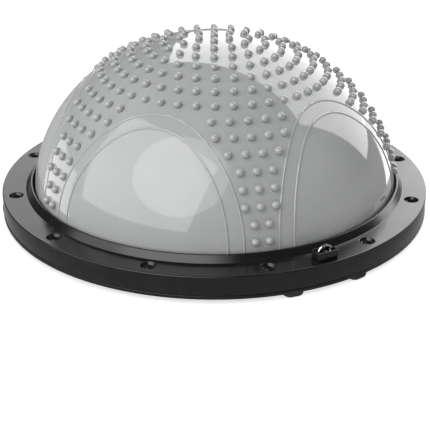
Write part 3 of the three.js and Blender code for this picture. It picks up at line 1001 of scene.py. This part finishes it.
def makeFeet():
    gap, lip = foot["gap"], foot["lip"]
    face = plateRadius + gap + lip
    back = plateRadius - foot["length"]
    top = plateBottom + foot["lipHeight"]
    padTop = plateBottom - gap

    def outline(inset, height):
        x, corner = foot["width"] / 2 - inset, foot["corner"] - inset
        low, high = -(face - inset), -(back + inset)
        corners = [(-x, low, corner), (x, low, corner), (x, high, corner), (-x, high, corner)]
        return [(p.x, p.y, height) for p in filleted(corners, steps=8)]

    angles = [math.radians(degrees) for degrees in (0, 22, 45, 68, 90)]
    sole, rim = foot["round"], foot["lipRound"]
    loops = [outline(sole * (1 - math.sin(a)), sole * (1 - math.cos(a))) for a in angles]
    loops += [outline(rim * (1 - math.cos(a)), top - rim * (1 - math.sin(a))) for a in angles]
    pad = cleaned(stacked("footShape", loops))
    outer = plateRadius + gap
    hollow = [(back - 20, padTop), (outer, padTop), (outer, top + 5), (back - 20, top + 5)]
    space = turned("plateSpace", [*hollow, hollow[0]], 360, "foot_rubber")
    middle = (face + back) / 2
    cutters = [space]
    for k in range(foot["grooves"]):
        groove = slab("groove", foot["width"] * 2, foot["grooveWidth"], -1, foot["grooveDepth"])
        pitch = foot["length"] / (foot["grooves"] + 1)
        shift = (k - (foot["grooves"] - 1) / 2) * pitch
        groove.data.transform(Matrix.Translation((0, (-middle + shift) * mm, 0)))
        cutters.append(cleaned(groove))
    pad = cleaned(cutBy(pad, *cutters), sharp=30)
    spots = [(Vector((0, 0, 0)), upward, azimuth) for azimuth in foot["azimuths"]]
    result = copies("rubberFeet", pad, spots, "foot_rubber")
    install(result, "base", "foot_rubber", *nodesNamed("rubber_foot_"))


makeFeet()
print("feet")


bracket = {
    "wall": 1.5,
    "corner": 1.0,
    "edge": 0.35,
    "lugWidth": 5.0,
    "lugCover": 1.7,
    "lugEdge": 0.35,
    "barGap": 0.3,
    "bossRadius": 2.6,
    "bossEdge": 0.3,
    "bossSpacing": 18.0,
    "sides": 24,
}

bow = {
    "wire": 1.7,
    "innerWidth": 14.4,
    "reach": 10.7,
    "corner": 2.2,
    "sides": 16,
    "steps": 32,
}

barLevel = flatTop + 5.5  # axis of the D-ring's hinge


def makeBracket(side, turn):
    low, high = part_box("ring_bracket_front")
    width, depth = (high.x - low.x) / mm, (high.y - low.y) / mm
    bottom, top = low.z / mm, high.z / mm
    middle = (low.y + high.y) / 2 / mm
    wall, edge = bracket["wall"], bracket["edge"]
    floor = bottom + wall

    def outline(inset, height):
        x, y = width / 2 - inset, depth / 2 - inset
        corner = max(bracket["corner"] - inset, 0.2)
        corners = [(-x, -y, corner), (x, -y, corner), (x, y, corner), (-x, y, corner)]
        return [(p.x, p.y + middle, height) for p in filleted(corners, steps=5)]

    bulge = edge * 0.3
    section = [(edge, bottom), (0, bottom + edge), (0, top - edge), (bulge, top - bulge),
               (edge, top), (wall - edge, top), (wall - bulge, top - bulge), (wall, top - edge),
               (wall, floor + edge), (wall + edge, floor)]
    tub = cleaned(stacked("tub", [outline(inset, height) for inset, height in section]))
    root = floor - 0.5  # lug and bosses start inside the floor
    hole = bow["wire"] + bracket["barGap"]
    radius = hole + bracket["lugCover"]
    arc = [math.radians(a) for a in range(0, 181, 12)]
    hump = [(radius * math.cos(a), barLevel + radius * math.sin(a)) for a in arc]
    half, rim = bracket["lugWidth"] / 2, bracket["lugEdge"]
    profile = [(radius, root), *hump, (-radius, root)]
    slices = [(-half, rim), (-half + rim, 0.0), (half - rim, 0.0), (half, rim)]
    loops = [[(x, middle + y * (1 - inset / radius), z - inset * 0.5) for y, z in profile]
             for x, inset in slices]
    lug = cleaned(stacked("lug", loops))
    reach = bracket["lugWidth"] * 2
    bar = beads("barHole", [[(-reach, middle, barLevel), (reach, middle, barLevel)]], hole,
                bracket["sides"], "base_plastic")
    lug = cleaned(cutBy(lug, cleaned(bar)))
    bossTop, bossRadius = barLevel - hole, bracket["bossRadius"]
    post = [(0, bossTop), (bossRadius - bracket["bossEdge"], bossTop),
            (bossRadius, bossTop - bracket["bossEdge"]), (bossRadius, root), (0, root)]
    posts = []
    for x in (-bracket["bossSpacing"] / 2, bracket["bossSpacing"] / 2):
        boss = turned("post", post, bracket["sides"], "base_plastic")
        boss.data.transform(Matrix.Translation(Vector((x, middle, 0)) * mm))
        posts.append(boss)
    whole = joined("ringBracket" + side, tub, lug, *posts)
    whole.data.transform(Matrix.Rotation(math.radians(turn), 4, "Z"))
    install(shaded(whole), "base", "base_plastic", "ring_bracket_" + side.lower())


def makeBow(side, turn):
    # A closed D of wire, whose straight side turns in the bracket's lug
    low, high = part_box("d_ring_front")
    middle = (low.y + high.y) / 2 / mm
    leg = bow["innerWidth"] / 2 + bow["wire"]
    centre = bow["reach"] - leg
    corner = bow["corner"]
    outline = filleted([(-leg, centre), (-leg, 0, corner), (leg, 0, corner), (leg, centre)], steps=8)
    arc = [math.pi * k / bow["steps"] for k in range(1, bow["steps"])]
    outline += [Vector((leg * math.cos(a), centre + leg * math.sin(a))) for a in arc]
    path = [(p.x, middle, barLevel + p.y) for p in outline]
    wire = cleaned(beads("dRing" + side, [path], bow["wire"], bow["sides"], "ring_chrome", closed=True))
    wire.data.transform(Matrix.Rotation(math.radians(turn), 4, "Z"))
    install(wire, "d_ring_" + side.lower(), "ring_chrome", "d_ring_" + side.lower())


for side, turn in (("Front", 0), ("Rear", 180)):
    makeBracket(side, turn)
    makeBow(side, turn)
print("brackets and D-rings")


valve = {
    "bore": 4.6,
    "neck": 9.0,
    "flange": 20.0,
    "flangeThickness": 2.0,
    "plugSleeve": 21.0,
    "plugNeck": 3.5,
    "plugTop": 2.2,
    "plugGap": 0.3,
    "plugHead": 8.0,
    "headHeight": 2.4,
    "dish": (3.4, 4.6, 0.5),  # hollow of the head: its flat, its rim and its depth
    "seatColumns": 64,
    "plugColumns": 48,
}


def makeValve():
    low, high = (corner.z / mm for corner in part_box("valve_seat"))
    flangeLow = high - valve["flangeThickness"]
    bore, neck, flange = valve["bore"], valve["neck"], valve["flange"]
    seat = filleted([(bore, low, 0.4), (neck, low, 0.5), (neck, flangeLow, 0.6),
                     (flange, flangeLow, 0.5), (flange, high, 0.9), (bore, high, 0.6)], steps=3)
    body = turned("valveNeck", [*seat, seat[0]], valve["seatColumns"], "valve_pvc")
    install(body, "base", "valve_pvc", "valve_seat")
    bottom, tip = (corner.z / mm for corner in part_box("valve_plug"))
    under = bottom + valve["headHeight"]
    sleeveTop = under + valve["plugSleeve"]
    shoulder, head = bore - valve["plugGap"], valve["plugHead"]
    flat, rim, depth = valve["dish"]
    plug = filleted([(0, bottom + depth), (flat, bottom + depth, 0.8), (rim, bottom, 0.5),
                     (head, bottom, 0.8), (head, under, 0.5), (shoulder, under, 0.3),
                     (shoulder, sleeveTop, 0.4), (valve["plugNeck"], sleeveTop + 1, 0.3),
                     (valve["plugTop"], tip, 1.2), (0, tip)], steps=4)
    body = turned("valvePlug", plug, valve["plugColumns"], "plug_plastic")
    install(body, "valve_plug", "plug_plastic", "valve_plug")


makeValve()

# The bracket screws keep their CAD shape
for name in nodesNamed("bracket_screw_"):
    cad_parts[name].data.materials.clear()
    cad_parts[name].data.materials.append(finishes["screw_zinc"])
print("valve and carried-over screws")
